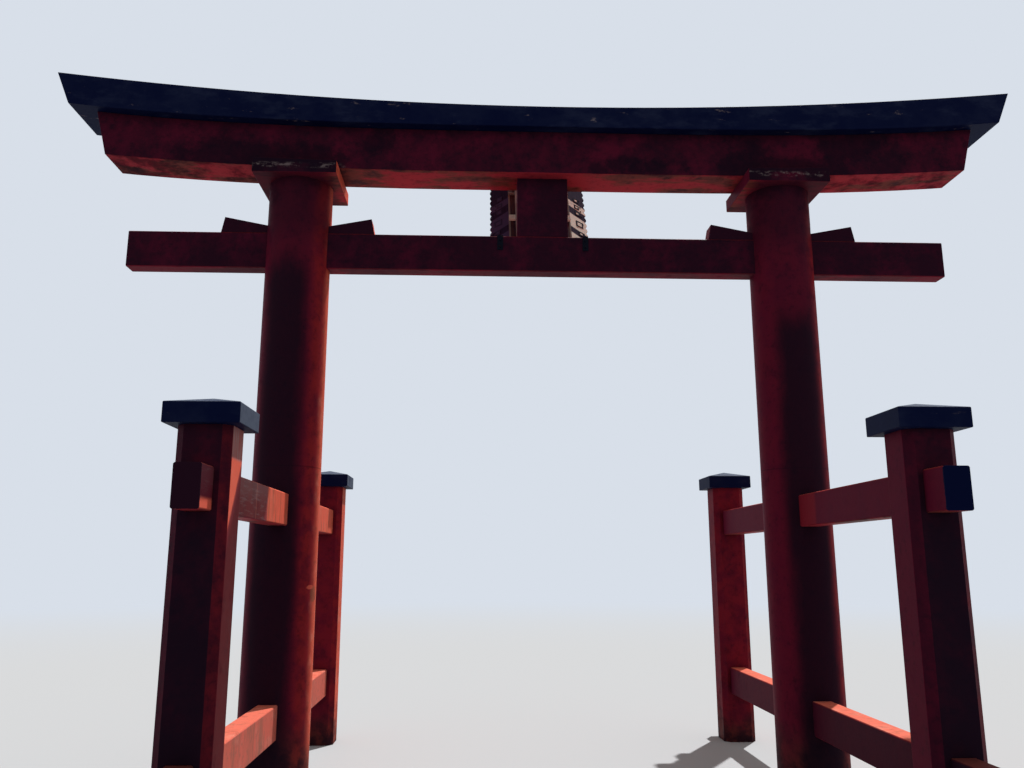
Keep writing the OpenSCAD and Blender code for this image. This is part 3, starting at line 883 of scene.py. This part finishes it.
class TORII_OT_posts(GateStep, bpy.types.Operator):
    """Finish the four sleeve posts, the front ones darker than the rear ones"""

    bl_idname = "torii.posts"
    bl_label = "Sleeve posts"

    # Heights between which mould thickens down the front posts' faces
    MOULDY = (2.2, 1.95)
    # Their right-hand faces get painted sunlight above the line where z is EDGE_Z + EDGE_SLOPE * y, and the
    # top beam's painted shadow below it
    EDGE_Z = 5.895
    EDGE_SLOPE = 1.82

    def execute(self, context):
        colours = context.scene.torii_colours

        def marks(f):
            wander = f.clouds(0.2, 5, 0.6, stretch=(1, 1, 2), shift=2.9) - 0.5
            front = f.between(f.to_rear, -0.8, -0.95)
            f.over(f.between(f.z + wander * 0.3, *self.MOULDY) * front * 0.75, colours.mould_and_shade)
            right = f.between(f.to_right, 0.8, 0.95)
            up = f.z - f.y * self.EDGE_SLOPE + wander * 0.1 - self.EDGE_Z
            painted_shade = f.between(up, 0.035, -0.035)
            # Painted sunlight above the line and the top beam's painted shadow below it
            f.over(right * (0.85 - painted_shade * 0.85), colours.red_fresh_and_sunlit)
            f.over(right * painted_shade * 0.8, colours.red_dark_and_shade)
            # Painted shade under the cap, with lime streaks
            cap_shade_and_chalk = f.between(f.z, POST_TOP - 0.2, POST_TOP - 0.17) * right
            runs = f.between(f.clouds(0.02, 3, stretch=(1, 1, 12), shift=5.5), 0.4, 0.65)
            f.over(cap_shade_and_chalk * 0.5, colours.red_dark_and_shade)
            f.over(cap_shade_and_chalk * (runs * 0.4 + 0.25), colours.lime)

        edge = context.scene.torii_details.edge / 2
        front = red_paint("front_post", extra=marks)
        dress([f"post_front_{side}" for side in SIDES], front, edge)
        rear = red_paint("rear_post", zone=lambda f: f.between(f.z, 1.6, 0.6) * 0.07)
        dress([f"post_rear_{side}" for side in SIDES], rear, edge)
        return {"FINISHED"}


class TORII_OT_post_caps(GateStep, bpy.types.Operator):
    """Finish the black post caps"""

    bl_idname = "torii.post_caps"
    bl_label = "Post caps"

    def execute(self, context):
        caps = [f"post_cap_{end}_{side}" for end in ("front", "rear") for side in SIDES]
        dress(caps, black_finish("cap_paint", scuffs=0.5), context.scene.torii_details.edge)
        return {"FINISHED"}


class TORII_OT_ties(GateStep, bpy.types.Operator):
    """Finish the ties between posts and pillars, the upper ones with black ends"""

    bl_idname = "torii.ties"
    bl_label = "Post ties"

    # Along the left upper tie: where the painted sunlight beside the pillar ends, the beams' painted shadow
    # starts and a seam is
    SUN_PATCH_Y = -0.93
    SHADOW_Y = -0.92
    SEAM_Y = -1.24
    # Where the noses start, and up to which height painted sunlight lies on the left one's side, with the
    # cap's painted shadow above
    NOSE_Y = -2.22
    LIT_Z = 2.095

    def execute(self, context):
        colours = context.scene.torii_colours

        def dark_ends(f, coat):
            ragged = (f.clouds(0.03, 4, shift=8.8) - 0.5) * 0.02
            f.over(f.between(abs(f.y) + ragged, TIE_END_Y - 0.014, TIE_END_Y - 0.008), coat)

        def nose(f):
            return f.between(f.y, self.NOSE_Y + 0.02, self.NOSE_Y - 0.02)

        def left_marks(f):
            inward = f.between(f.to_right, 0.5, 0.9)
            front = inward * f.between(f.y, -0.2, -0.26)
            outer = front * f.between(f.y, self.SHADOW_Y + 0.02, self.SHADOW_Y - 0.02)
            scuffs = f.between(f.clouds(0.02, 6, 0.65, stretch=(1, 9, 1), shift=3.3), 0.5, 0.66)
            # Painted shadow of the beams above, on the outer stretch
            f.over(outer * 0.75, colours.red_dark_and_shade)
            high = f.between(f.z, 2.1, 2.25)
            f.over(outer * (scuffs * 0.25 + high * 0.2 + 0.03), colours.lime)
            # Painted sunlight at the foot of the nose's side, and the cap's painted shadow above it
            lit = f.between(f.z, self.LIT_Z + 0.015, self.LIT_Z - 0.015)
            f.over(inward * nose(f) * (0.7 - lit * 0.7), colours.red_dark_and_shade)
            f.over(inward * nose(f) * lit * 0.9, colours.red_fresh_and_sunlit)
            # Painted sunlight on the stretch beside the pillar, with drips
            sun_patch = inward * f.between(f.y, self.SUN_PATCH_Y - 0.03, self.SUN_PATCH_Y + 0.03)
            f.over(sun_patch * 0.5, colours.red_fresh_and_sunlit)
            runs = f.between(f.clouds(0.035, 5, 0.6, stretch=(1, 1, 8), shift=7.2), 0.48, 0.66)
            f.over(sun_patch * runs * 0.4, colours.drip)
            seam = f.between(abs(f.y - self.SEAM_Y), 0.008, 0.004) * front
            f.over(seam * 0.4, colours.salmon)
            dark_ends(f, f.blend(0.12, colours.mould_and_shade, colours.red_dark_and_shade))

        def right_marks(f):
            # Painted shade on the sides away from the sun
            shaded = f.between(f.to_right, -0.5, -0.9)
            f.over(shaded * 0.5, colours.red_dark_and_shade)
            by_pillar = shaded * f.between(abs(f.y), 0.62, 0.56)
            f.over(by_pillar * 0.5, colours.red)
            dark_ends(f, colours.black)

        def lower_marks(f):
            # Painted shade on the sides away from the sun, partly in mould colour
            shaded = f.between(f.to_right, -0.5, -0.9)
            f.over(shaded * 0.35, colours.red_dark_and_shade)
            f.over(shaded * (f.between(f.y, 0.3, -0.3) * 0.3 + 0.25), colours.mould_and_shade)
            f.over(f.between(f.to_right, 0.5, 0.9) * 0.16, colours.lime)
            # Painted shade on the noses, in mould colour
            f.over(nose(f) * 0.8, colours.mould_and_shade)

        edge = context.scene.torii_details.edge / 2
        marks = {
            "upper_tie_left": left_marks,
            "upper_tie_right": right_marks,
            "lower_tie_left": lower_marks,
            "lower_tie_right": lower_marks,
        }
        for tie, extra in marks.items():
            dress([tie], red_paint(tie, extra=extra), edge)
        return {"FINISHED"}


class TORII_OT_plaque(GateStep, bpy.types.Operator):
    """Finish the plaque's board, frame and backing"""

    bl_idname = "torii.plaque"
    bl_label = "Plaque"

    # How high up the plaque the upper crosspiece's middle is, and half its own height
    RAIL_UP = 0.73
    RAIL_HALF = 0.03

    def execute(self, context):
        def board_edge(f, place):
            across, _, _ = f.split(place)
            return f.between(abs(across), BOARD_W / 2 - 0.016, BOARD_W / 2 - 0.012)

        def rail_edge(f, place):
            _, _, up = f.split(place)
            return f.between(abs(up - self.RAIL_UP), self.RAIL_HALF - 0.012, self.RAIL_HALF - 0.009)

        edge = context.scene.torii_details.fine_edge
        dress(["plaque_board"], brown_wood("board_wood", board_edge), edge)
        dress(["plaque_crosspiece_upper"], brown_wood("upper_crosspiece_wood", rail_edge), edge)
        dress(["plaque_frame_left", "plaque_frame_right"], banded_wood("side_frame_wood", "z"), edge)
        dress(["plaque_frame_top", "plaque_frame_bottom"], banded_wood("level_frame_wood", "x"), edge)
        dress(["plaque_crosspiece_lower"], cream_wood("crosspiece_wood", "x", 0.0), edge)
        dress(["plaque_stile_left", "plaque_stile_right"], cream_wood("stile_wood", "z", 0.7), edge)
        return {"FINISHED"}


class TORII_OT_plaque_rings(GateStep, bpy.types.Operator):
    """Make the square rings and studs on the plaque's frame"""

    bl_idname = "torii.plaque_rings"
    bl_label = "Plaque rings"

    # Places on a side board: height up the plaque, distance outwards, and size for the rings
    RINGS = (
        (0.733, 0.092, 1), (0.634, 0.095, 1), (0.537, 0.098, 1),
        (0.383, 0.11, 1.4), (0.247, 0.118, 1), (0.13, 0.11, 1),
    )
    STUDS = (
        (0.759, 0.129), (0.656, 0.138), (0.595, 0.138), (0.522, 0.143),
        (0.407, 0.149), (0.266, 0.148), (0.16, 0.146),
    )
    # Places across the upper and lower boards
    LEVEL_RINGS = ((-0.2, 0.1, 1), (-0.1, 0.1, 1), (0.0, 0.105, 1.4), (0.1, 0.1, 1), (0.2, 0.1, 1))
    LEVEL_STUDS = tuple((across, 0.145) for across in (-0.225, -0.15, -0.05, 0.05, 0.15, 0.225))

    def execute(self, context):
        details = context.scene.torii_details
        rim_paint, centre_paint = ring_paint("rim_paint", False), ring_paint("centre_paint", True)
        boards = {
            "left": (math.pi / 2, BOARD_W / 2, *self.up_board(1)),
            "right": (-math.pi / 2, BOARD_W / 2, *self.up_board(-1)),
            "top": (math.pi, BOARD_H / 2, self.LEVEL_RINGS, self.LEVEL_STUDS),
            "bottom": (0.0, BOARD_H / 2, self.LEVEL_RINGS, self.LEVEL_STUDS),
        }

        def fill_rims(mesh, board, rings, studs):
            for along, out, size in rings:
                for face in self.faces(board, along, out):
                    add_rim(mesh, face, details.ring_w * size, details.ring_rim, details.ring_t)
            for along, out in studs:
                for face in self.faces(board, along, out):
                    add_stud(mesh, face, details.stud_w, details.ring_t, 4)

        def fill_centres(mesh, board, rings):
            for along, out, size in rings:
                hole = (details.ring_w * size - 2 * details.ring_rim) * math.sqrt(2)
                for face in self.faces(board, along, out):
                    add_stud(mesh, face, hole * 0.98, details.ring_t * 0.6, 4)

        for name, (way_round, distance, rings, studs) in boards.items():
            board = flare_matrix(way_round, distance)
            add_piece(f"plaque_rims_{name}", rim_paint, "plaque_cream", fill_rims, board, rings, studs)
            add_piece(f"plaque_centres_{name}", centre_paint, "plaque_cream", fill_centres, board, rings)
        return {"FINISHED"}

    def up_board(self, way):
        """The rings and studs of a side board, along whose drawing the height runs forwards or backwards."""
        rings = [(way * (BOARD_H / 2 - up), out, size) for up, out, size in self.RINGS]
        return rings, [(way * (BOARD_H / 2 - up), out) for up, out in self.STUDS]

    def faces(self, board, along, out):
        """Places on the two faces of a board, each with z out of the board."""
        front = board @ Matrix.Translation((along, out, FLARE_T + GAP))
        back = board @ Matrix.Translation((along, out, -GAP)) @ Matrix.Rotation(math.pi, 4, "X")
        return front, back


class TORII_OT_ironwork(GateStep, bpy.types.Operator):
    """Finish the straps and stays, and make their bolts"""

    bl_idname = "torii.ironwork"
    bl_label = "Ironwork"

    # Bolts of a strap, up from its foot, and of a stay, from its middle: places across and up
    STRAP_BOLTS = ((0.0, 0.03), (0.0, 0.086))
    STAY_BOLTS = ((-0.026, -0.026), (-0.026, 0.026), (0.026, -0.026), (0.026, 0.026))

    def execute(self, context):
        details = context.scene.torii_details
        finish = iron_finish()
        iron = [f"{kind}_{side}" for kind in ("strap", "plaque_stay") for side in SIDES]
        dress(iron, finish, details.fine_edge / 2)

        def fill_bolts(mesh, x, y, z, way, bolts):
            turn = Matrix.Rotation(-way * math.pi / 2, 4, "X")
            for across, up in bolts:
                at = Matrix.Translation((x + across, y + way * GAP, z + up))
                add_stud(mesh, at @ turn, details.bolt_w, details.bolt_t)

        for name, side in SIDES.items():
            strap = (side * STRAP_X, STRAP_FACE_Y, STRAP_FOOT, -1, self.STRAP_BOLTS)
            stay = (side * STAY_X, STAY_FACE_Y, STAY_Z, 1, self.STAY_BOLTS)
            add_piece(f"strap_bolts_{name}", finish, "black_iron", fill_bolts, *strap)
            add_piece(f"stay_bolts_{name}", finish, "black_iron", fill_bolts, *stay)
        return {"FINISHED"}


class TORII_OT_stage(GateStep, bpy.types.Operator):
    """Make the camera, the lamps, the backdrop and the floor"""

    bl_idname = "torii.stage"
    bl_label = "Stage"

    # The floor's radius, and the distances between which it fades into the backdrop
    FLOOR_R = 120.0
    FADE = (9.0, 34.0)

    def execute(self, context):
        scene = context.scene
        scene.view_settings.view_transform = "Standard"
        stage = scene.torii_stage
        self.add_camera(scene, stage)
        self.light_world(scene, stage)
        self.add_sun(scene, stage)
        self.add_floor(scene, stage)
        return {"FINISHED"}

    def add_camera(self, scene, stage):
        """Camera at the photograph's viewing angle."""
        data = bpy.data.cameras.new("camera")
        data.sensor_width = 36.0
        data.lens = stage.lens
        data.clip_end = 500.0
        camera = bpy.data.objects.new("camera", data)
        camera.location = stage.camera
        camera.rotation_euler = (math.pi / 2 + stage.pitch, 0.0, -stage.yaw)
        scene.collection.objects.link(camera)
        scene.camera = camera

    def light_world(self, scene, stage):
        """Even light all round, with the backdrop's colour where it is seen."""
        world = bpy.data.worlds.new("backdrop")
        scene.world = world
        world.use_nodes = True
        nodes = Nodes(world.node_tree)
        light = nodes.node("ShaderNodeBackground", values={"Color": (*triple(stage.fill), 1.0)})
        picture = nodes.node("ShaderNodeBackground", values={"Color": (*stage.backdrop, 1.0)})
        either = nodes.node("ShaderNodeMixShader", values={0: nodes.seen(), 1: light, 2: picture})
        nodes.node("ShaderNodeOutputWorld", values={"Surface": either})

    def add_sun(self, scene, stage):
        """Key light, high at the rear on the right like the photograph's sun."""
        data = bpy.data.lights.new("key", "SUN")
        data.energy = stage.sun
        data.angle = stage.softness
        lamp = bpy.data.objects.new("key", data)
        lamp.rotation_euler = Vector(stage.towards_sun).to_track_quat("Z", "Y").to_euler()
        scene.collection.objects.link(lamp)

    def add_floor(self, scene, stage):
        """Wide floor that fades into the backdrop."""
        f = Finish("floor_paint")
        seen = f.seen()
        near = f.node("ShaderNodeBsdfDiffuse", values={"Color": f.blend(seen, stage.bounce, stage.floor)})
        far = f.node("ShaderNodeEmission", values={"Color": (*stage.backdrop, 1.0)})
        away = f.between(f.distance(f.place), *self.FADE) * seen
        mixed = f.node("ShaderNodeMixShader", values={0: away, 1: near, 2: far})
        f.node("ShaderNodeOutputMaterial", values={"Surface": mixed})
        mesh = bpy.data.meshes.new("floor")
        made = bmesh.new()
        bmesh.ops.create_circle(made, cap_ends=True, segments=96, radius=self.FLOOR_R)
        made.to_mesh(mesh)
        made.free()
        mesh.materials.append(f.material)
        floor = bpy.data.objects.new("floor", mesh)
        scene.collection.objects.link(floor)


STEPS = tuple(GateStep.__subclasses__())
GROUPS = {
    "torii_colours": TORII_PG_colours,
    "torii_wear": TORII_PG_wear,
    "torii_details": TORII_PG_details,
    "torii_stage": TORII_PG_stage,
}


class TORII_PT_panel(bpy.types.Panel):
    """Lists the gate's values and the steps that make it"""

    bl_idname = "TORII_PT_panel"
    bl_label = "Torii gate"
    bl_space_type = "VIEW_3D"
    bl_region_type = "UI"
    bl_category = "Torii"

    def draw(self, context):
        for group_name, group_class in GROUPS.items():
            group = getattr(context.scene, group_name)
            box = self.layout.box()
            for property_name in group_class.__annotations__:
                box.prop(group, property_name)
        for step in STEPS:
            self.layout.operator(step.bl_idname)


def register():
    """Registers the classes and puts the values on the scene."""
    for group_name, group_class in GROUPS.items():
        bpy.utils.register_class(group_class)
        setattr(bpy.types.Scene, group_name, bpy.props.PointerProperty(type=group_class))
    for step in STEPS:
        bpy.utils.register_class(step)
    bpy.utils.register_class(TORII_PT_panel)


def unregister():
    """Takes back what register did."""
    bpy.utils.unregister_class(TORII_PT_panel)
    for step in reversed(STEPS):
        bpy.utils.unregister_class(step)
    for group_name, group_class in GROUPS.items():
        delattr(bpy.types.Scene, group_name)
        bpy.utils.unregister_class(group_class)


def main():
    """Builds the scene."""
    register()
    for step in STEPS:
        group, name = step.bl_idname.split(".")
        getattr(getattr(bpy.ops, group), name)()
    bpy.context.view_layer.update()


if __name__ == "__main__":
    main()
